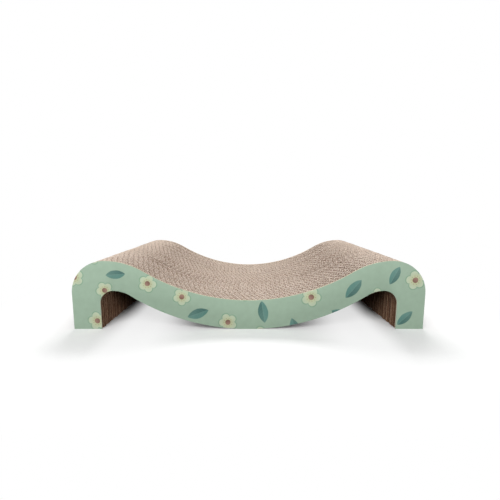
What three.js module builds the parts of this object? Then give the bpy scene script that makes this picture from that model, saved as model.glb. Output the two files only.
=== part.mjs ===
// Cat scratcher lounger: corrugated boards of one die-cut outline stand on edge and are glued
// face to face, with a printed panel on each long side. Their cut edges make a cradle that
// rests on two legs and on the belly of its dip.
// Millimetres, +Z up, +X along the length, origin on the floor under the middle.
import * as THREE from "three";

// Outline, seen from the front
const LENGTH = 500; // over both legs
const HEIGHT = 99; // floor to crest
const SEAT_HEIGHT = 42.2; // floor to the bottom of the dip
const SHOULDER_RADIUS = 47; // outer corner, leg to crest
const CREST_RADIUS = 105; // hump between crest and dip
const LEG_WIDTH = 39; // foot, along X
const ARCH_HEIGHT = 56.5; // floor to the top of the opening behind a leg
const SPRING_RADIUS = 19; // inner corner, leg to arch
const CROWN_RADIUS = 44.5; // arch between its top and the belly
const FLOOR = 0; // level of the feet and of the belly

// Lamination, from front to back
const CORE_BOARD_COUNT = 58;
const CORE_BOARD_THICKNESS = 4; // coarse-flute board
const PANEL_THICKNESS = 1.6; // fine-flute board under the print
const GLUE_LINE = 0.25; // between neighbouring faces

const FACET_ERROR = 0.45; // farthest that a facet lies from its arc

const halfLength = LENGTH / 2;
const crestX = halfLength - SHOULDER_RADIUS;
const innerLegX = halfLength - LEG_WIDTH;
const archX = innerLegX - SPRING_RADIUS;
const corePitch = CORE_BOARD_THICKNESS + GLUE_LINE;
const coreDepth = CORE_BOARD_COUNT * corePitch + GLUE_LINE;
const depth = coreDepth + 2 * PANEL_THICKNESS;

// Points along an arc, both ends included. It runs clockwise where the angle falls.
function arcPoints(centreX, centreZ, radius, fromAngle, toAngle) {
  const facetAngle = 2 * Math.acos(1 - FACET_ERROR / radius);
  const facets = Math.ceil(Math.abs(toAngle - fromAngle) / facetAngle);
  const clockwise = toAngle < fromAngle;
  const arc = new THREE.EllipseCurve(centreX, centreZ, radius, radius, fromAngle, toAngle, clockwise);
  return arc.getPoints(facets);
}

// Two tangent arcs, level at both ends, from a hump's top at (humpX, top) down to (0, bottom).
function humpToMiddle(humpX, top, bottom, humpRadius) {
  const turn = 2 * Math.atan((top - bottom) / humpX);
  const hollowRadius = humpX / Math.sin(turn) - humpRadius;
  const upright = Math.PI / 2;
  const hump = arcPoints(humpX, top - humpRadius, humpRadius, upright, upright + turn);
  const hollow = arcPoints(0, bottom + hollowRadius, hollowRadius, turn - upright, -upright);
  return [...hump, ...hollow.slice(1)];
}

// The right half runs from the belly along the underside, round the leg and back over the crest.
function rightHalf() {
  const underside = humpToMiddle(archX, ARCH_HEIGHT, FLOOR, CROWN_RADIUS).reverse();
  const spring = arcPoints(archX, ARCH_HEIGHT - SPRING_RADIUS, SPRING_RADIUS, Math.PI / 2, 0);
  const foot = [new THREE.Vector2(innerLegX, FLOOR), new THREE.Vector2(halfLength, FLOOR)];
  const shoulder = arcPoints(crestX, HEIGHT - SHOULDER_RADIUS, SHOULDER_RADIUS, 0, Math.PI / 2);
  const lyingSurface = humpToMiddle(crestX, HEIGHT, SEAT_HEIGHT, CREST_RADIUS);
  return [...underside, ...spring.slice(1), ...foot, ...shoulder, ...lyingSurface.slice(1)];
}

function outline() {
  const right = rightHalf();
  const left = right.slice(1, -1).reverse().map((point) => new THREE.Vector2(-point.x, point.y));
  return new THREE.Shape([...right, ...left]);
}

// A board stands on edge, with its front face at y = 0.
function boardGeometry(thickness) {
  const geometry = new THREE.ExtrudeGeometry(outline(), { depth: thickness, bevelEnabled: false });
  return geometry.rotateX(Math.PI / 2).translate(0, thickness, 0);
}

function board(name, geometry, material, frontFace) {
  const mesh = new THREE.Mesh(geometry, material);
  mesh.name = name;
  mesh.position.y = frontFace;
  return mesh;
}

function coreBoards() {
  const kraft = new THREE.MeshStandardMaterial({ color: 0xbfa48c, roughness: 0.95, metalness: 0 });
  const geometry = boardGeometry(CORE_BOARD_THICKNESS);
  const firstFace = -coreDepth / 2 + GLUE_LINE;
  const stack = new THREE.Group();
  for (let index = 0; index < CORE_BOARD_COUNT; index += 1) {
    const name = `core_board_${String(index + 1).padStart(2, "0")}`;
    stack.add(board(name, geometry, kraft, firstFace + index * corePitch));
  }
  return stack;
}

function printedPanels() {
  const print = new THREE.MeshStandardMaterial({ color: 0x9fb8a0, roughness: 0.7, metalness: 0 });
  const geometry = boardGeometry(PANEL_THICKNESS);
  const pair = new THREE.Group();
  pair.add(board("front_printed_panel", geometry, print, -depth / 2));
  pair.add(board("rear_printed_panel", geometry, print, coreDepth / 2));
  return pair;
}

const lounger = new THREE.Group();
lounger.add(coreBoards(), printedPanels());

export default lounger;
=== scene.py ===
"""Looks of a cat scratcher lounger: fluted kraft boards glued side by side between printed panels."""

import math

import bpy
import numpy as np
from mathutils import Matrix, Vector

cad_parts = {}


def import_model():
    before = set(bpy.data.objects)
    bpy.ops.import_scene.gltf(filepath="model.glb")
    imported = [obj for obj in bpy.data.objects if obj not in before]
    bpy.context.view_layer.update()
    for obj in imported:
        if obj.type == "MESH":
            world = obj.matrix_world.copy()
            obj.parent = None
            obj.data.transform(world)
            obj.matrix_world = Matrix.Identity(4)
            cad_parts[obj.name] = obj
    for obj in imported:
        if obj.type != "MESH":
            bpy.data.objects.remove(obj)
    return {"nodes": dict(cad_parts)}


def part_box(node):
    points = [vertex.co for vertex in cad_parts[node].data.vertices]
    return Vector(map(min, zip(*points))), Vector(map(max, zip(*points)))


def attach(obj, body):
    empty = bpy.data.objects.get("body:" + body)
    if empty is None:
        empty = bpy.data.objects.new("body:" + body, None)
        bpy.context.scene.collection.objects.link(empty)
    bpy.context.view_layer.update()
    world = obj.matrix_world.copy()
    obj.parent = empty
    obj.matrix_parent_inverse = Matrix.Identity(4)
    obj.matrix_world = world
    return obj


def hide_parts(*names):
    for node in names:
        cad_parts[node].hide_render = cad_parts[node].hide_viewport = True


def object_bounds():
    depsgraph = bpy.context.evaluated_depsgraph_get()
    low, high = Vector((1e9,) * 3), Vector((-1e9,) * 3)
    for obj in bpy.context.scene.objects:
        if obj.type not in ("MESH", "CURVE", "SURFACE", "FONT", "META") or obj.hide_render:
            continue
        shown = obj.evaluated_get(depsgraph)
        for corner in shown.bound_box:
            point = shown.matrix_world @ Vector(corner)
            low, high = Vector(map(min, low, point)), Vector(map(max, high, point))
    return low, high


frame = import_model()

MM = 0.001
SEED = 11


def colour(red, green, blue):
    """A display colour, 0 to 255, as the linear colour that a shader takes."""
    shares = [value / 255 for value in (red, green, blue)]
    linear = [s / 12.92 if s <= 0.04045 else ((s + 0.055) / 1.055) ** 2.4 for s in shares]
    return (*linear, 1.0)


# Outline of every board, as in the CAD model. Length and height come from the frame.
cad_low, cad_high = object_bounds()
HALF_LENGTH = cad_high.x
HEIGHT = cad_high.z
SEAT_HEIGHT = 42.2 * MM
SHOULDER_RADIUS = 47 * MM
CREST_RADIUS = 105 * MM
LEG_WIDTH = 39 * MM
ARCH_HEIGHT = 56.5 * MM
SPRING_RADIUS = 19 * MM
CROWN_RADIUS = 44.5 * MM
CREST_X = HALF_LENGTH - SHOULDER_RADIUS
INNER_LEG_X = HALF_LENGTH - LEG_WIDTH
ARCH_X = INNER_LEG_X - SPRING_RADIUS
SPRING_HEIGHT = ARCH_HEIGHT - SPRING_RADIUS
ARC_ERROR = 0.02 * MM
COLUMN_GRID = 0.05 * MM
LEAST_STEP = 1 / 3
SHARP_ANGLE = math.radians(50)

# Coarse board of the core. Steps, spread and drift of the flutes are shares of their pitch.
CORE_LINER = 0.26 * MM
CORE_MEDIUM = 0.42 * MM
CORE_PITCH = 7.6 * MM
CORE_STEPS = 12
FLUTE_STEP = 0.2
FLUTE_SPREAD = 0.02
FLUTE_DRIFT = 0.04
DRIFT_KNOTS = 14

# Fine board under the print
PANEL_LINER = 0.34 * MM
PANEL_MEDIUM = 0.18 * MM
PANEL_PITCH = 3.3 * MM
PANEL_STEPS = 8
PANEL_OVERHANG = 0.25 * MM
PRESSED_EDGE = 0.4 * MM
PRESSED_DEPTH = 0.1 * MM

# Lamination and cut: glue and small unevenness
GLUE_FILM = 0.02 * MM
GLUE_REACH = 0.11 * MM
CUT_JITTER = 0.11 * MM
CUT_SMOOTHING = (0.15, 0.2, 0.3, 0.2, 0.15)
SHIFT_ALONG = 1 * MM
SHIFT_UP = 0.25 * MM
# Near the ends, the depth for the painted shade is taken from the end rather than from the lying surface
END_REACH = 3 * MM

# Order of the materials on each kind of board
LINER_SLOT, MEDIUM_SLOT, CUT_SLOT = 0, 1, 2
PRINT_SLOT, BOARD_SLOT, RIM_SLOT = 0, 1, 2

# Bands of the texture layout, from their lowest to their highest v
CORE_WALLS = {LINER_SLOT: (0, 0.34), MEDIUM_SLOT: (0.36, 0.7)}
PANEL_WALLS = {PRINT_SLOT: (0, 0.6), BOARD_SLOT: (0.62, 0.7)}
EDGE_BANDS = np.array([(0.72, 0.8), (0.82, 0.9), (0.92, 1)])
ABOVE, BELOW, ENDS = 0, 1, 2
LEG_SIDES = 4

# Paper: pale and dark shades at the cut, and painted shade: darker shades deep inside the flutes and on
# the cut edges under the lying surface and the arches
WALL_SHADES = (colour(222, 206, 192), colour(204, 185, 168))
CUT_SHADES = (colour(247, 236, 224), colour(228, 211, 195))
RIM_SHADES = (colour(242, 236, 206), colour(224, 215, 180))
DEEP_PAINTED_SHADES = (colour(116, 83, 60), colour(89, 61, 43))
# Painted shade: darker, browner cut edges under the lying surface and in the arches
UNDER_PAINTED_SHADES = (colour(238, 201, 171), colour(198, 162, 133))
FLECK = colour(128, 96, 74)

# Depths between which each kind of paper turns from its shades at the cut to the deeper ones, a painted
# shade inside the flutes and under the lying surface
LINER_REACH = (0.1 * MM, 0.5 * MM)
MEDIUM_REACH = (0.25 * MM, 0.8 * MM)
CUT_REACH = (0.5 * MM, 2 * MM)

# Grain of the paper: size, detail and stretch of its features, and their strengths
FIBRE_SIZE, FIBRE_DETAIL, FIBRE_STRETCH = 1.1 * MM, 3, (1, 3, 3)
CLOUD_SIZE = 14 * MM
MOTTLE_SIZE = 3.2 * MM
SPECK_SIZE, SPECK_STRETCH = 0.67 * MM, (1, 2, 2)
SPOT_DETAIL = 1
FIBRE_PART, CLOUD_PART, TINT_PART = 0.55, 0.3, 0.15
SHADE_RANGE = (0.25, 0.8)
MOTTLE_RANGE = (0.42, 0.62)
SPECK_RANGE = (0.66, 0.74)
CUT_MOTTLE, NO_MOTTLE = 0.5, 0
SPECK_STRENGTH = 0.6
FIBRE_BUMP = (0.5, 0.05 * MM)
LINER_ROUGHNESS, BOARD_ROUGHNESS, CUT_ROUGHNESS = 0.82, 0.85, 0.9
FIBRE_ROUGHNESS = 0.1
PAPER_GLOSS = 0.2

# Print: its colours
SAGE, SAGE_PALE = colour(163, 187, 166), colour(171, 193, 173)
PETAL, PETAL_THROAT, PETAL_RIM = colour(200, 212, 186), colour(202, 208, 168), colour(132, 170, 142)
BROWN, BROWN_DARK = colour(166, 132, 118), colour(138, 104, 92)
TEAL, TEAL_DARK, TEAL_PALE = colour(94, 138, 130), colour(74, 112, 106), colour(124, 160, 150)
WASH = colour(226, 230, 226)

# Print: a loose turned grid of motifs
PRINT_CELL = 43 * MM
PRINT_TURN = math.radians(27)
PRINT_OFFSET = (-4 * MM, 14 * MM, 0)
PRINT_RANDOM = 0.45
LEAF_SHARE = 0.42
MOTIF_SIZES = (0.9, 1.12)
WOBBLE, WOBBLE_SIZE = 1.1 * MM, 8 * MM
NOISE_MIDDLE = (0.5, 0.5, 0.5)

# Print: sizes of a blossom and of a leaf
PETAL_COUNT = 5
PETAL_NOTCH, PETAL_REACH, PETAL_FULLNESS = 8.8 * MM, 13.3 * MM, 0.6
PETAL_EDGE = (0.1 * MM, 0.9 * MM)
PETAL_RIM_EDGE = (-1.5 * MM, -0.2 * MM)
PETAL_RIM_STRENGTH = 0.8
THROAT = (3.9 * MM, 11 * MM)
MIDDLE_EDGE = (4.2 * MM, 3.7 * MM)
MIDDLE_SHADE = (-3.4 * MM, 3.4 * MM)
STAMEN_COUNT, STAMEN_RADIUS, STAMEN_EDGE = 10, 5.9 * MM, (0.75 * MM, 0.35 * MM)
STAMEN_GAP = (0.2, 0.6)
STAMEN_STRENGTH = 0.6
LEAF_HALF_LENGTH, LEAF_HALF_WIDTH = 15.5 * MM, 6.9 * MM
LEAF_EDGE = (-0.1 * MM, 0.6 * MM)
LEAF_FADE = (-17 * MM, 17 * MM)
LEAF_FADE_STRENGTH = 0.45
HALF_EDGE = (-0.8 * MM, 0.8 * MM)
MIDRIB = (0.65 * MM, 0.25 * MM)
MIDRIB_STRENGTH = 0.5
VEIN_PITCH, VEIN_SLANT, VEIN_RANGE = 4.2 * MM, 0.9, (0.8, 1)
VEIN_STRENGTH = 0.22

# Print: its paper
WASH_SIZE, GRAIN_SIZE = 9 * MM, 0.4 * MM
PRINT_ROUGHNESS, GRAIN_ROUGHNESS = 0.5, 0.12
WAVE_PART, GRAIN_PART = 0.5, 0.4
PRINT_BUMP = (0.12, 0.05 * MM)
PRINT_GLOSS = 0.3

# Floor and light
FLOOR_REACH = 6
FLOOR_SEEN = colour(236, 236, 236)
FLOOR_BOUNCE = colour(80, 78, 75)
FLOOR_FADE = (20 * MM, 190 * MM)
# Painted light on the floor: under the arches, clear of the belly and the legs, the floor glows white
# for the camera and lightens the shadow
FLOOR_GLOW = 0.7
BELLY_CLEAR = (60 * MM, 140 * MM)
LEG_CLEAR = (INNER_LEG_X, INNER_LEG_X - 40 * MM)
WHITE = (1, 1, 1, 1)
WORLD_LIGHT = 0.3

# Softboxes: place, size in metres and power in watts
KEY_LAMP = ((-0.2, -1.3, 1.5), (1.2, 0.8), 18.8)
LEFT_FILL = ((-0.7, -0.85, 0.35), (0.4, 0.25), 3.4)
RIGHT_FILL = ((0.9, -1.2, 0.45), (0.5, 0.3), 6)
BACK_LAMP = ((0.1, 1, 1.3), (1.6, 0.6), 23.8)
LAMP_TARGET = (0, 0, 0.05)

# Camera, fitted to the object's edges in the photograph
CAMERA_DISTANCE = 380.3 * MM
CAMERA_HEIGHT = 173.8 * MM
CAMERA_PITCH = math.radians(6.73)
CAMERA_LENS = 19.94
CAMERA_SHIFT = (0.0027, -0.0203)
CAMERA_NEAR = 10 * MM


# Outline


def hump_arcs(hump_x, top, bottom, hump_radius):
    """Turn and lower radius of two tangent arcs from a hump's top at hump_x down to the middle."""
    turn = 2 * math.atan((top - bottom) / hump_x)
    return turn, hump_x / math.sin(turn) - hump_radius


def hump_height(x, hump_x, top, bottom, hump_radius):
    """Height over x of those two arcs."""
    turn, hollow_radius = hump_arcs(hump_x, top, bottom, hump_radius)
    meeting = hollow_radius * math.sin(turn)
    hollow = bottom + hollow_radius - np.sqrt(hollow_radius**2 - np.minimum(x, meeting) ** 2)
    reach = np.clip(x, meeting, hump_x) - hump_x
    hump = top - hump_radius + np.sqrt(hump_radius**2 - reach**2)
    return np.where(x < meeting, hollow, hump)


def corner_height(x, centre_x, top, radius):
    """Height over x of a quarter circle that falls away outwards from its top at centre_x."""
    reach = np.clip(x - centre_x, 0, radius)
    return top - radius + np.sqrt(radius**2 - reach**2)


def upper_edge(x):
    x = np.abs(x)
    lying = hump_height(x, CREST_X, HEIGHT, SEAT_HEIGHT, CREST_RADIUS)
    return np.where(x < CREST_X, lying, corner_height(x, CREST_X, HEIGHT, SHOULDER_RADIUS))


def arch_edge(x):
    x = np.abs(x)
    belly = hump_height(x, ARCH_X, ARCH_HEIGHT, 0, CROWN_RADIUS)
    return np.where(x < ARCH_X, belly, corner_height(x, ARCH_X, ARCH_HEIGHT, SPRING_RADIUS))


def arc(centre_x, centre_z, radius, start, end):
    """Points along an arc, both ends included."""
    facet = 2 * math.acos(1 - ARC_ERROR / radius)
    angles = np.linspace(start, end, math.ceil(abs(end - start) / facet) + 1)
    return np.column_stack((centre_x + radius * np.cos(angles), centre_z + radius * np.sin(angles)))


def hump_points(hump_x, top, bottom, hump_radius):
    turn, hollow_radius = hump_arcs(hump_x, top, bottom, hump_radius)
    upright = math.pi / 2
    hump = arc(hump_x, top - hump_radius, hump_radius, upright, upright + turn)
    hollow = arc(0, bottom + hollow_radius, hollow_radius, turn - upright, -upright)
    return np.vstack((hump, hollow[1:]))


def outline():
    """The board's outline, anticlockwise from the middle of the belly, seen from the front."""
    underside = hump_points(ARCH_X, ARCH_HEIGHT, 0, CROWN_RADIUS)[::-1]
    spring = arc(ARCH_X, SPRING_HEIGHT, SPRING_RADIUS, math.pi / 2, 0)
    foot = np.array([[INNER_LEG_X, 0], [HALF_LENGTH, 0]])
    shoulder = arc(CREST_X, HEIGHT - SHOULDER_RADIUS, SHOULDER_RADIUS, 0, math.pi / 2)
    lying = hump_points(CREST_X, HEIGHT, SEAT_HEIGHT, CREST_RADIUS)
    right = np.vstack((underside, spring[1:], foot, shoulder, lying[1:]))
    return np.vstack((right, right[-2:0:-1] * (-1, 1)))


def outward(points):
    """How far each point moves for an offset of 1, square to the outline and mitred at corners."""
    along = np.roll(points, -1, axis=0) - points
    along /= np.linalg.norm(along, axis=1)[:, None]
    normal = np.column_stack((along[:, 1], -along[:, 0]))
    before = np.roll(normal, 1, axis=0)
    return (normal + before) / (1 + np.sum(normal * before, axis=1))[:, None]


# Meshes


class Shell:
    """Gathers closed sheets into one mesh, with a material slot for each face."""

    def __init__(self):
        self.points = np.empty((0, 3))
        self.faces = []
        self.slots = []

    def add(self, points, faces, slots):
        start = len(self.points)
        self.points = np.vstack((self.points, points))
        self.faces += [[index + start for index in face] for face in faces]
        self.slots += slots

    def mesh(self, name, materials):
        mesh = bpy.data.meshes.new(name)
        mesh.from_pydata(self.points.tolist(), [], self.faces)
        for material in materials:
            mesh.materials.append(material)
        mesh.polygons.foreach_set("material_index", self.slots)
        mesh.polygons.foreach_set("use_smooth", [True] * len(self.faces))
        mesh.set_sharp_from_angle(angle=SHARP_ANGLE)
        return mesh


def rings(loops, slots):
    """A plate through several loops of one outline, with slots for its front, its sides and its back."""
    size = len(loops[0])
    faces = [list(range(size))]
    for low in range(0, size * (len(loops) - 1), size):
        for index in range(size):
            after = (index + 1) % size
            faces.append([low + after, low + index, low + size + index, low + size + after])
    last = size * (len(loops) - 1)
    faces.append([last + index for index in reversed(range(size))])
    sides = [slot for slot in slots[1:-1] for _ in range(size)]
    return np.vstack(loops), faces, [slots[0], *sides, slots[-1]]


def loop(points, depth):
    return np.column_stack((points[:, 0], np.full(len(points), depth), points[:, 1]))


def wave_columns(pitch, steps):
    """Places along the length for a wave, with one on each leg's inner face in place of a near one."""
    step = pitch / steps
    even = np.linspace(-HALF_LENGTH, HALF_LENGTH, round(2 * HALF_LENGTH / step) + 1)
    clear = np.abs(np.abs(even) - INNER_LEG_X) > step * LEAST_STEP
    return np.sort(np.append(even[clear], (-INNER_LEG_X, INNER_LEG_X)))


def leg_columns(columns):
    """The columns on the inner faces of the left and the right leg."""
    return [int(np.argmin(np.abs(columns - side))) for side in (-INNER_LEG_X, INNER_LEG_X)]


def sheet_faces(columns, wall_slot, edge_slot):
    """Faces and slots of an upright sheet. Each column has four points: front low, front high, back
    low and back high. After all columns come a front and a back point where the arch springs from
    each leg."""
    count = len(columns)
    left, right = leg_columns(columns)
    spring = {left: 4 * count, right: 4 * count + 2}
    walls = []
    edges = []
    for here in range(count - 1):
        arch = left <= here < right
        lowest = []
        for side in (0, 1):
            low, low_next = 4 * here + 2 * side, 4 * here + 4 + 2 * side
            start = [spring[here] + side] if here in spring else []
            end = [spring[here + 1] + side] if here + 1 in spring else []
            if arch:
                lower = [*(start or [low]), *(end or [low_next])]
                lowest.append(lower)
            else:
                lower = [*start, low, low_next, *end]
                lowest.append([low, low_next])
            wall = [*lower, low_next + 1, low + 1]
            walls.append(wall if side == 0 else wall[::-1])
        (front, front_next), (back, back_next) = lowest
        edges.append([4 * here + 1, 4 * here + 5, 4 * here + 7, 4 * here + 3])
        edges.append([front, back, back_next, front_next])
    last = 4 * (count - 1)
    edges.append([0, 1, 3, 2])
    edges.append([last, last + 2, last + 3, last + 1])
    edges.append([4 * left, 4 * left + 2, spring[left] + 1, spring[left]])
    edges.append([4 * right, spring[right], spring[right] + 1, 4 * right + 2])
    return walls + edges, [wall_slot] * len(walls) + [edge_slot] * len(edges)


def sheet_points(columns, centre, half, cut):
    """Points of an upright sheet in the order that sheet_faces takes. centre and half are its place
    and half its thickness in depth, and cut lifts the top of each column."""
    front = np.broadcast_to(centre - half, columns.shape)
    back = np.broadcast_to(centre + half, columns.shape)
    low = np.where(np.abs(columns) < INNER_LEG_X - ARC_ERROR, arch_edge(columns), 0)
    high = upper_edge(columns) + cut
    corners = [(depth, height) for depth in (front, back) for height in (low, high)]
    points = np.stack([np.column_stack((columns, *corner)) for corner in corners], axis=1)
    legs = leg_columns(columns)
    springs = [(columns[leg], depth[leg], SPRING_HEIGHT) for leg in legs for depth in (front, back)]
    return np.vstack((points.reshape(-1, 3), springs))


def waved_points(columns, middle, room, thickness, pitch, phase, cut):
    """Points of a waved medium that fills the room between two liners."""
    swing = (room - thickness) / 2
    turn = 2 * math.pi * (columns / pitch + phase)
    slope = swing * 2 * math.pi / pitch * np.cos(turn)
    half = thickness / 2 * np.sqrt(1 + slope**2)
    return sheet_points(columns, middle + swing * np.sin(turn), half, cut)


def uneven_cut(rng, count):
    """Small random offsets along a cut, smoothed over a few neighbours."""
    rough = rng.normal(0, CUT_JITTER, count + len(CUT_SMOOTHING) - 1)
    return np.convolve(rough, CUT_SMOOTHING, "valid")


def flute_drift(rng, columns):
    """Slow change of a wave's phase along the board, which grows from the left end."""
    knots = np.linspace(-HALF_LENGTH, HALF_LENGTH, DRIFT_KNOTS)
    return np.interp(columns, knots, np.cumsum(rng.normal(0, FLUTE_DRIFT, DRIFT_KNOTS)))


def painted_shade_depth(points):
    """How far each point lies under the lying surface, or from the ends where these are near. This depth
    sets how much painted shade the paper takes.
    """
    below = upper_edge(points[:, 0]) - points[:, 2]
    from_end = HALF_LENGTH - np.abs(points[:, 0])
    nearest = np.where(from_end < END_REACH, np.minimum(below, from_end), below)
    return np.maximum(nearest, 0)


def read(items, name, width=1, kind=float):
    """One value, or one row of values, for each of a mesh's items."""
    values = np.zeros(len(items) * width, kind)
    items.foreach_get(name, values)
    return values if width == 1 else values.reshape(-1, width)


def lay_out(mesh, front, back, walls):
    """A texture layout in bands: each kind of wall as seen from the front, then the cut edges as
    seen from above, from below and from the ends. walls holds the band of each wall's slot."""
    face = np.repeat(np.arange(len(mesh.polygons)), read(mesh.polygons, "loop_total", kind=int))
    x, y, z = read(mesh.vertices, "co", 3)[read(mesh.loops, "vertex_index", kind=int)].T
    facing_x, _, facing_z = read(mesh.polygons, "normal", 3)[face].T
    slot = read(mesh.polygons, "material_index", kind=int)[face]
    ends = np.abs(facing_x) > np.abs(facing_z)
    leg_side = 2 * (facing_x > 0) + (np.abs(x) > INNER_LEG_X + LEG_WIDTH / 2)
    length_share = (x + HALF_LENGTH) / (2 * HALF_LENGTH)
    along = np.where(ends, (leg_side + z / HEIGHT) / LEG_SIDES, length_share)
    across = (y - front) / (back - front)
    low, high = EDGE_BANDS[np.where(ends, ENDS, np.where(facing_z > 0, ABOVE, BELOW))].T
    for wall, band in walls.items():
        here = slot == wall
        along[here] = length_share[here]
        across[here] = z[here] / HEIGHT
        low[here], high[here] = band
    layout = np.column_stack((along, low + across * (high - low)))
    mesh.uv_layers.new(name="OFBake").data.foreach_set("uv", layout.ravel())


def set_values(mesh, name, values):
    mesh.attributes.new(name, "FLOAT", "POINT").data.foreach_set("value", values)


EDGE = outline()
EDGE_OUTWARD = outward(EDGE)
LINER_COLUMNS = np.unique(np.round(EDGE[:, 0] / COLUMN_GRID)) * COLUMN_GRID
LINER_FACES = sheet_faces(LINER_COLUMNS, LINER_SLOT, CUT_SLOT)
CORE_COLUMNS = wave_columns(CORE_PITCH, CORE_STEPS)
CORE_FACES = sheet_faces(CORE_COLUMNS, MEDIUM_SLOT, CUT_SLOT)
PANEL_COLUMNS = wave_columns(PANEL_PITCH, PANEL_STEPS)
PANEL_FACES = sheet_faces(PANEL_COLUMNS, BOARD_SLOT, RIM_SLOT)


def core_board(name, front, back, phase, rng, materials):
    """A corrugated board: two flat liners and a waved medium between them. The liners' outer faces
    reach into the glue lines, so that neighbours meet."""
    front, back = front - GLUE_REACH, back + GLUE_REACH
    shell = Shell()
    for middle in (front + CORE_LINER / 2, back - CORE_LINER / 2):
        cut = uneven_cut(rng, len(LINER_COLUMNS))
        shell.add(sheet_points(LINER_COLUMNS, middle, CORE_LINER / 2, cut), *LINER_FACES)
    room = back - front - 2 * (CORE_LINER + GLUE_FILM)
    phases = phase + flute_drift(rng, CORE_COLUMNS)
    cut = uneven_cut(rng, len(CORE_COLUMNS))
    middle = (front + back) / 2
    medium = waved_points(CORE_COLUMNS, middle, room, CORE_MEDIUM, CORE_PITCH, phases, cut)
    shell.add(medium, *CORE_FACES)
    # Depth of each point, which darkens the paper as painted shade inside the flutes and under the lying
    # surface
    depths = painted_shade_depth(shell.points)
    shell.points += (rng.uniform(-SHIFT_ALONG, SHIFT_ALONG), 0, rng.uniform(0, SHIFT_UP))
    mesh = shell.mesh(name, materials)
    set_values(mesh, "painted_shade_depth", depths)
    set_values(mesh, "board_tint", np.full(len(depths), rng.uniform()))
    lay_out(mesh, front, back, CORE_WALLS)
    return mesh


def printed_panel(name, outer, inner, materials):
    """A fine-flute board with a printed outer liner whose rim is pressed back by the cut."""
    into = 1 if inner > outer else -1
    rim = EDGE + EDGE_OUTWARD * PANEL_OVERHANG
    rim[:, 1] = np.maximum(rim[:, 1], 0)
    pressed = loop(rim - EDGE_OUTWARD * PRESSED_EDGE, outer)
    faced = [pressed, loop(rim, outer + into * PRESSED_DEPTH), loop(rim, outer + into * PANEL_LINER)]
    points, faces, slots = rings(faced, [PRINT_SLOT, PRINT_SLOT, RIM_SLOT, BOARD_SLOT])
    shell = Shell()
    shell.add(points, faces if into > 0 else [face[::-1] for face in faces], slots)
    backing = [loop(rim, depth) for depth in sorted((inner, inner - into * PANEL_LINER))]
    shell.add(*rings(backing, [BOARD_SLOT, RIM_SLOT, BOARD_SLOT]))
    room = abs(inner - outer) - 2 * (PANEL_LINER + GLUE_FILM)
    middle = (outer + inner) / 2
    medium = waved_points(PANEL_COLUMNS, middle, room, PANEL_MEDIUM, PANEL_PITCH, 0, 0)
    shell.add(medium, *PANEL_FACES)
    mesh = shell.mesh(name, materials)
    lay_out(mesh, *sorted((outer, inner)), PANEL_WALLS)
    return mesh


# Materials


class Nodes:
    """Fills a node tree. The value of an input is a constant or another node's output."""

    def __init__(self, tree):
        self.tree = tree
        tree.nodes.clear()

    def add(self, kind, inputs=(), **settings):
        node = self.tree.nodes.new("ShaderNode" + kind)
        for key, value in settings.items():
            setattr(node, key, value)
        for key, value in dict(inputs).items():
            if isinstance(value, bpy.types.NodeSocket):
                self.tree.links.new(value, node.inputs[key])
            else:
                node.inputs[key].default_value = value
        return node

    def math(self, operation, *values):
        return self.add("Math", enumerate(values), operation=operation).outputs[0]

    def vector(self, operation, *values):
        return self.add("VectorMath", enumerate(values), operation=operation).outputs["Vector"]

    def length(self, vector):
        return self.add("VectorMath", {0: vector}, operation="LENGTH").outputs["Value"]

    def axes(self, vector):
        return self.add("SeparateXYZ", {0: vector}).outputs

    def turn(self, vector, angle):
        inputs = {"Vector": vector, "Angle": angle}
        return self.add("VectorRotate", inputs, rotation_type="Z_AXIS").outputs[0]

    def mix(self, share, first, second, blend="MIX"):
        """Blends two colours. Their inputs on a Mix node are 6 and 7, and its colour output is 2."""
        inputs = {0: share, 6: first, 7: second}
        return self.add("Mix", inputs, data_type="RGBA", blend_type=blend).outputs[2]

    def ramp(self, value, low, high):
        """0 at low and 1 at high, with a smooth rise between."""
        inputs = {"Value": value, "From Min": low, "From Max": high}
        return self.add("MapRange", inputs, interpolation_type="SMOOTHSTEP").outputs[0]

    def noise(self, place, size, detail=2, stretch=(1, 1, 1)):
        spread = self.vector("MULTIPLY", place, stretch)
        inputs = {"Vector": spread, "Scale": 1 / size, "Detail": detail}
        return self.add("TexNoise", inputs).outputs

    def place(self):
        return self.add("TexCoord").outputs["Object"]

    def attribute(self, name):
        return self.add("Attribute", attribute_name=name).outputs["Fac"]

    def paper(self, base, roughness, height, bump, gloss):
        """Ends the tree in a matt surface. bump is the strength and the height of the relief."""
        strength, distance = bump
        relief = self.add("Bump", {"Height": height, "Strength": strength, "Distance": distance})
        inputs = {"Base Color": base, "Roughness": roughness, "Normal": relief.outputs[0]}
        shader = self.add("BsdfPrincipled", {**inputs, "Specular IOR Level": gloss})
        self.add("OutputMaterial", {"Surface": shader.outputs[0]})


def new_material(name):
    material = bpy.data.materials.new(name)
    material.use_nodes = True
    return material, Nodes(material.node_tree)


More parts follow.
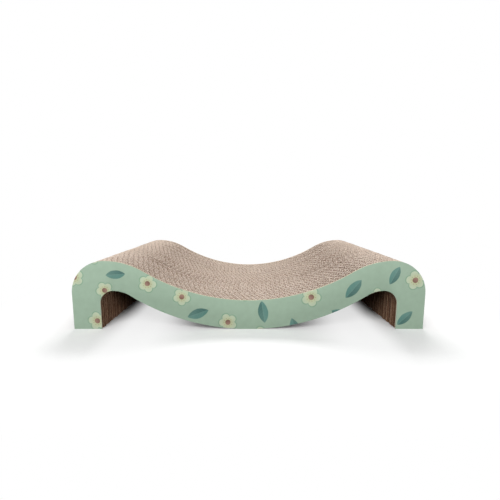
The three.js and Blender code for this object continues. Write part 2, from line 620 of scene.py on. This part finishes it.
def kraft(name, near, deep, reach, roughness, mottle):
    """Unbleached paper with fibres, clouds and flecks, and a tint of its own on each board. It turns
    from its shades near the cut to the deep ones over the depths in reach: painted shade, darker
    inside the flutes and under the lying surface."""
    material, nodes = new_material(name)
    place = nodes.place()
    fibre = nodes.noise(place, FIBRE_SIZE, FIBRE_DETAIL, FIBRE_STRETCH)["Fac"]
    cloud = nodes.noise(place, CLOUD_SIZE)["Fac"]
    tint = nodes.math("MULTIPLY", nodes.attribute("board_tint"), TINT_PART)
    clouded = nodes.math("MULTIPLY_ADD", cloud, CLOUD_PART, tint)
    share = nodes.ramp(nodes.math("MULTIPLY_ADD", fibre, FIBRE_PART, clouded), *SHADE_RANGE)
    # Painted shade: the paper darkens with its depth under the cut
    depth = nodes.ramp(nodes.attribute("painted_shade_depth"), *reach)
    ground = nodes.mix(depth, nodes.mix(share, *near), nodes.mix(share, *deep))
    patches = nodes.noise(place, MOTTLE_SIZE, SPOT_DETAIL)["Fac"]
    patch = nodes.math("MULTIPLY", nodes.ramp(patches, *MOTTLE_RANGE), mottle)
    mottled = nodes.mix(patch, ground, FLECK)
    specks = nodes.noise(place, SPECK_SIZE, SPOT_DETAIL, SPECK_STRETCH)["Fac"]
    speck = nodes.math("MULTIPLY", nodes.ramp(specks, *SPECK_RANGE), SPECK_STRENGTH)
    base = nodes.mix(speck, mottled, FLECK)
    rough = nodes.math("MULTIPLY_ADD", fibre, FIBRE_ROUGHNESS, roughness)
    nodes.paper(base, rough, fibre, FIBRE_BUMP, PAPER_GLOSS)
    return material


def motifs(nodes, place):
    """Scatters motifs on a loose turned grid. Gives the way from the middle of the nearest motif, as
    turned and sized there, and a random value that tells one kind of motif from the other."""
    spread = nodes.vector("SUBTRACT", nodes.noise(place, WOBBLE_SIZE)["Color"], NOISE_MIDDLE)
    drawn = nodes.axes(nodes.vector("MULTIPLY_ADD", spread, (WOBBLE,) * 3, place))
    face = nodes.add("CombineXYZ", {"X": drawn["X"], "Y": drawn["Z"]}).outputs[0]
    moved = nodes.vector("ADD", nodes.turn(face, PRINT_TURN), PRINT_OFFSET)
    grid = nodes.vector("DIVIDE", moved, (PRINT_CELL,) * 3)
    inputs = {"Vector": grid, "Scale": 1, "Randomness": PRINT_RANDOM}
    cells = nodes.add("TexVoronoi", inputs, voronoi_dimensions="2D").outputs
    turn, kind, size = nodes.add("SeparateColor", {0: cells["Color"]}).outputs[:3]
    sizes = {"Value": size, "To Min": PRINT_CELL / MOTIF_SIZES[0], "To Max": PRINT_CELL / MOTIF_SIZES[1]}
    scale = nodes.add("MapRange", sizes).outputs[0]
    scales = nodes.add("CombineXYZ", {"X": scale, "Y": scale}).outputs[0]
    way = nodes.vector("MULTIPLY", nodes.vector("SUBTRACT", grid, cells["Position"]), scales)
    return nodes.turn(way, nodes.math("MULTIPLY", turn, 2 * math.pi)), kind


def blossom(nodes, way, ground, share):
    """A blossom with rimmed petals, a ring of stamens and a round brown middle."""
    axes = nodes.axes(way)
    radius = nodes.length(way)
    angle = nodes.math("ARCTAN2", axes["Y"], axes["X"])
    lobe = nodes.math("ABSOLUTE", nodes.math("COSINE", nodes.math("MULTIPLY", angle, PETAL_COUNT / 2)))
    full = nodes.math("POWER", lobe, PETAL_FULLNESS)
    reach = nodes.math("MULTIPLY_ADD", full, PETAL_REACH - PETAL_NOTCH, PETAL_NOTCH)
    inside = nodes.math("SUBTRACT", reach, radius)
    rim = nodes.math("MULTIPLY", nodes.ramp(inside, *PETAL_RIM_EDGE), share)
    rimmed = nodes.mix(nodes.math("MULTIPLY", rim, PETAL_RIM_STRENGTH), ground, PETAL_RIM)
    petal = nodes.mix(nodes.ramp(radius, *THROAT), PETAL_THROAT, PETAL)
    flower = nodes.mix(nodes.math("MULTIPLY", nodes.ramp(inside, *PETAL_EDGE), share), rimmed, petal)
    row = nodes.math("COSINE", nodes.math("MULTIPLY", angle, STAMEN_COUNT))
    from_ring = nodes.math("ABSOLUTE", nodes.math("SUBTRACT", radius, STAMEN_RADIUS))
    dot = nodes.math("MULTIPLY", nodes.ramp(row, *STAMEN_GAP), nodes.ramp(from_ring, *STAMEN_EDGE))
    dotted = nodes.math("MULTIPLY", dot, nodes.math("MULTIPLY", share, STAMEN_STRENGTH))
    shade = nodes.mix(nodes.ramp(axes["Y"], *MIDDLE_SHADE), BROWN_DARK, BROWN)
    middle = nodes.math("MULTIPLY", nodes.ramp(radius, *MIDDLE_EDGE), share)
    return nodes.mix(middle, nodes.mix(dotted, flower, BROWN), shade)


def leaf(nodes, way, ground, share):
    """A pointed leaf between two arcs, darker on one side of its pale midrib, with faint veins."""
    bow = (LEAF_HALF_LENGTH**2 + LEAF_HALF_WIDTH**2) / (2 * LEAF_HALF_WIDTH)
    offset = (0, bow - LEAF_HALF_WIDTH, 0)
    sides = [nodes.length(nodes.vector(operation, way, offset)) for operation in ("ADD", "SUBTRACT")]
    inside = nodes.math("SUBTRACT", bow, nodes.math("MAXIMUM", *sides))
    axes = nodes.axes(way)
    aside = nodes.math("ABSOLUTE", axes["Y"])
    halves = nodes.mix(nodes.ramp(axes["Y"], *HALF_EDGE), TEAL_DARK, TEAL)
    fade = nodes.math("MULTIPLY", nodes.ramp(axes["X"], *LEAF_FADE), LEAF_FADE_STRENGTH)
    blade = nodes.mix(fade, halves, TEAL_PALE)
    slant = nodes.math("MULTIPLY_ADD", aside, -VEIN_SLANT, axes["X"])
    row = nodes.math("COSINE", nodes.math("MULTIPLY", slant, 2 * math.pi / VEIN_PITCH))
    vein = nodes.math("MULTIPLY", nodes.ramp(row, *VEIN_RANGE), VEIN_STRENGTH)
    rib = nodes.math("MULTIPLY", nodes.ramp(aside, *MIDRIB), MIDRIB_STRENGTH)
    veined = nodes.mix(nodes.math("MAXIMUM", vein, rib), blade, TEAL_PALE)
    return nodes.mix(nodes.math("MULTIPLY", nodes.ramp(inside, *LEAF_EDGE), share), ground, veined)


def print_paper():
    """Matt printed paper: scattered blossoms and leaves on sage, over the fine flutes of its board."""
    material, nodes = new_material("sage_print")
    place = nodes.place()
    wash = nodes.noise(place, WASH_SIZE)["Fac"]
    way, kind = motifs(nodes, place)
    is_leaf = nodes.math("LESS_THAN", kind, LEAF_SHARE)
    flowered = blossom(nodes, way, nodes.mix(wash, SAGE, SAGE_PALE), nodes.math("SUBTRACT", 1, is_leaf))
    base = nodes.mix(wash, leaf(nodes, way, flowered, is_leaf), WASH, "MULTIPLY")
    grain = nodes.noise(place, GRAIN_SIZE)["Fac"]
    wave = nodes.math("SINE", nodes.math("MULTIPLY", nodes.axes(place)["X"], 2 * math.pi / PANEL_PITCH))
    relief = nodes.math("MULTIPLY_ADD", wave, WAVE_PART, nodes.math("MULTIPLY", grain, GRAIN_PART))
    rough = nodes.math("MULTIPLY_ADD", grain, GRAIN_ROUGHNESS, PRINT_ROUGHNESS)
    nodes.paper(base, rough, relief, PRINT_BUMP, PRINT_GLOSS)
    return material


# Pieces


def place_piece(node, name, mesh):
    piece = bpy.data.objects.new(name, mesh)
    bpy.context.scene.collection.objects.link(piece)
    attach(piece, "root")
    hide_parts(node)


def core_boards():
    """Each board's flutes step on from those of its neighbour by about a fifth of a flute."""
    rng = np.random.default_rng(SEED)
    materials = [
        kraft("kraft_liner", WALL_SHADES, DEEP_PAINTED_SHADES, LINER_REACH, LINER_ROUGHNESS, NO_MOTTLE),
        kraft("kraft_medium", WALL_SHADES, DEEP_PAINTED_SHADES, MEDIUM_REACH, BOARD_ROUGHNESS, NO_MOTTLE),
        # Its cut edges take the darker, browner painted shade under the lying surface
        kraft("kraft_cut_edge", CUT_SHADES, UNDER_PAINTED_SHADES, CUT_REACH, CUT_ROUGHNESS, CUT_MOTTLE),
    ]
    phase = 0
    for node in sorted(name for name in frame["nodes"] if name.startswith("core_board")):
        phase += rng.normal(FLUTE_STEP, FLUTE_SPREAD)
        low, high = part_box(node)
        mesh = core_board(node + "_fluted", low.y, high.y, phase, rng, materials)
        place_piece(node, node + "_fluted", mesh)


def printed_panels():
    materials = [
        print_paper(),
        kraft("panel_board", WALL_SHADES, DEEP_PAINTED_SHADES, LINER_REACH, BOARD_ROUGHNESS, NO_MOTTLE),
        kraft("panel_cut_edge", RIM_SHADES, UNDER_PAINTED_SHADES, CUT_REACH, CUT_ROUGHNESS, NO_MOTTLE),
    ]
    for node in ("front_printed_panel", "rear_printed_panel"):
        low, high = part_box(node)
        outer, inner = (low.y, high.y) if low.y < 0 else (high.y, low.y)
        mesh = printed_panel(node + "_faced", outer, inner, materials)
        place_piece(node, node + "_faced", mesh)


# Stage


def seen_directly(nodes):
    """1 for the camera and for reflections, 0 for light that falls on the object."""
    path = nodes.add("LightPath").outputs
    seen = nodes.math("MAXIMUM", path["Is Camera Ray"], path["Is Glossy Ray"])
    return nodes.math("MAXIMUM", seen, path["Is Transmission Ray"])


def floor():
    """A pale floor that takes the shadow near the object and runs out into white. Under the open
    arches the floor glows white for the camera as well, a painted light that keeps the shadow light
    there."""
    material, nodes = new_material("pale_floor")
    seen = seen_directly(nodes)
    shade = nodes.add("BsdfDiffuse", {"Color": nodes.mix(seen, FLOOR_BOUNCE, FLOOR_SEEN)})
    white = nodes.add("Emission", {"Color": WHITE, "Strength": seen})
    place = nodes.vector("ABSOLUTE", nodes.place())
    beyond = nodes.vector("MAXIMUM", nodes.vector("SUBTRACT", place, tuple(cad_high)), (0, 0, 0))
    across = nodes.axes(place)["X"]
    # Painted light: the glow under the arches fades out near the belly and near the legs
    clear = nodes.math("MULTIPLY", nodes.ramp(across, *BELLY_CLEAR), nodes.ramp(across, *LEG_CLEAR))
    glow = nodes.math("MULTIPLY", clear, FLOOR_GLOW)
    share = nodes.math("MAXIMUM", nodes.ramp(nodes.length(beyond), *FLOOR_FADE), glow)
    surface = nodes.add("MixShader", {0: share, 1: shade.outputs[0], 2: white.outputs[0]})
    nodes.add("OutputMaterial", {"Surface": surface.outputs[0]})
    corners = np.array([(-1, -1, 0), (1, -1, 0), (1, 1, 0), (-1, 1, 0)]) * FLOOR_REACH
    mesh = bpy.data.meshes.new("floor")
    mesh.from_pydata(corners.tolist(), [], [[0, 1, 2, 3]])
    mesh.materials.append(material)
    plane = bpy.data.objects.new("floor", mesh)
    bpy.context.scene.collection.objects.link(plane)


def world():
    sky = bpy.data.worlds.new("studio")
    sky.use_nodes = True
    nodes = Nodes(sky.node_tree)
    strength = nodes.math("MAXIMUM", seen_directly(nodes), WORLD_LIGHT)
    background = nodes.add("Background", {"Color": WHITE, "Strength": strength})
    nodes.add("OutputWorld", {"Surface": background.outputs[0]})
    bpy.context.scene.world = sky


def softbox(name, place, size, power):
    lamp = bpy.data.lights.new(name, "AREA")
    lamp.shape = "RECTANGLE"
    lamp.size, lamp.size_y = size
    lamp.energy = power
    box = bpy.data.objects.new(name, lamp)
    box.location = place
    aim = Vector(LAMP_TARGET) - Vector(place)
    box.rotation_euler = aim.to_track_quat("-Z", "Y").to_euler()
    bpy.context.scene.collection.objects.link(box)


def camera():
    lens = bpy.data.cameras.new("camera")
    lens.lens = CAMERA_LENS
    lens.shift_x, lens.shift_y = CAMERA_SHIFT
    lens.clip_start = CAMERA_NEAR
    view = bpy.data.objects.new("camera", lens)
    view.location = (0, cad_low.y - CAMERA_DISTANCE, CAMERA_HEIGHT)
    view.rotation_euler = (math.pi / 2 - CAMERA_PITCH, 0, 0)
    bpy.context.scene.collection.objects.link(view)
    bpy.context.scene.camera = view


bpy.context.scene.view_settings.view_transform = "Standard"
camera()
core_boards()
printed_panels()
floor()
world()
softbox("key", *KEY_LAMP)
softbox("left_fill", *LEFT_FILL)
softbox("right_fill", *RIGHT_FILL)
softbox("back", *BACK_LAMP)
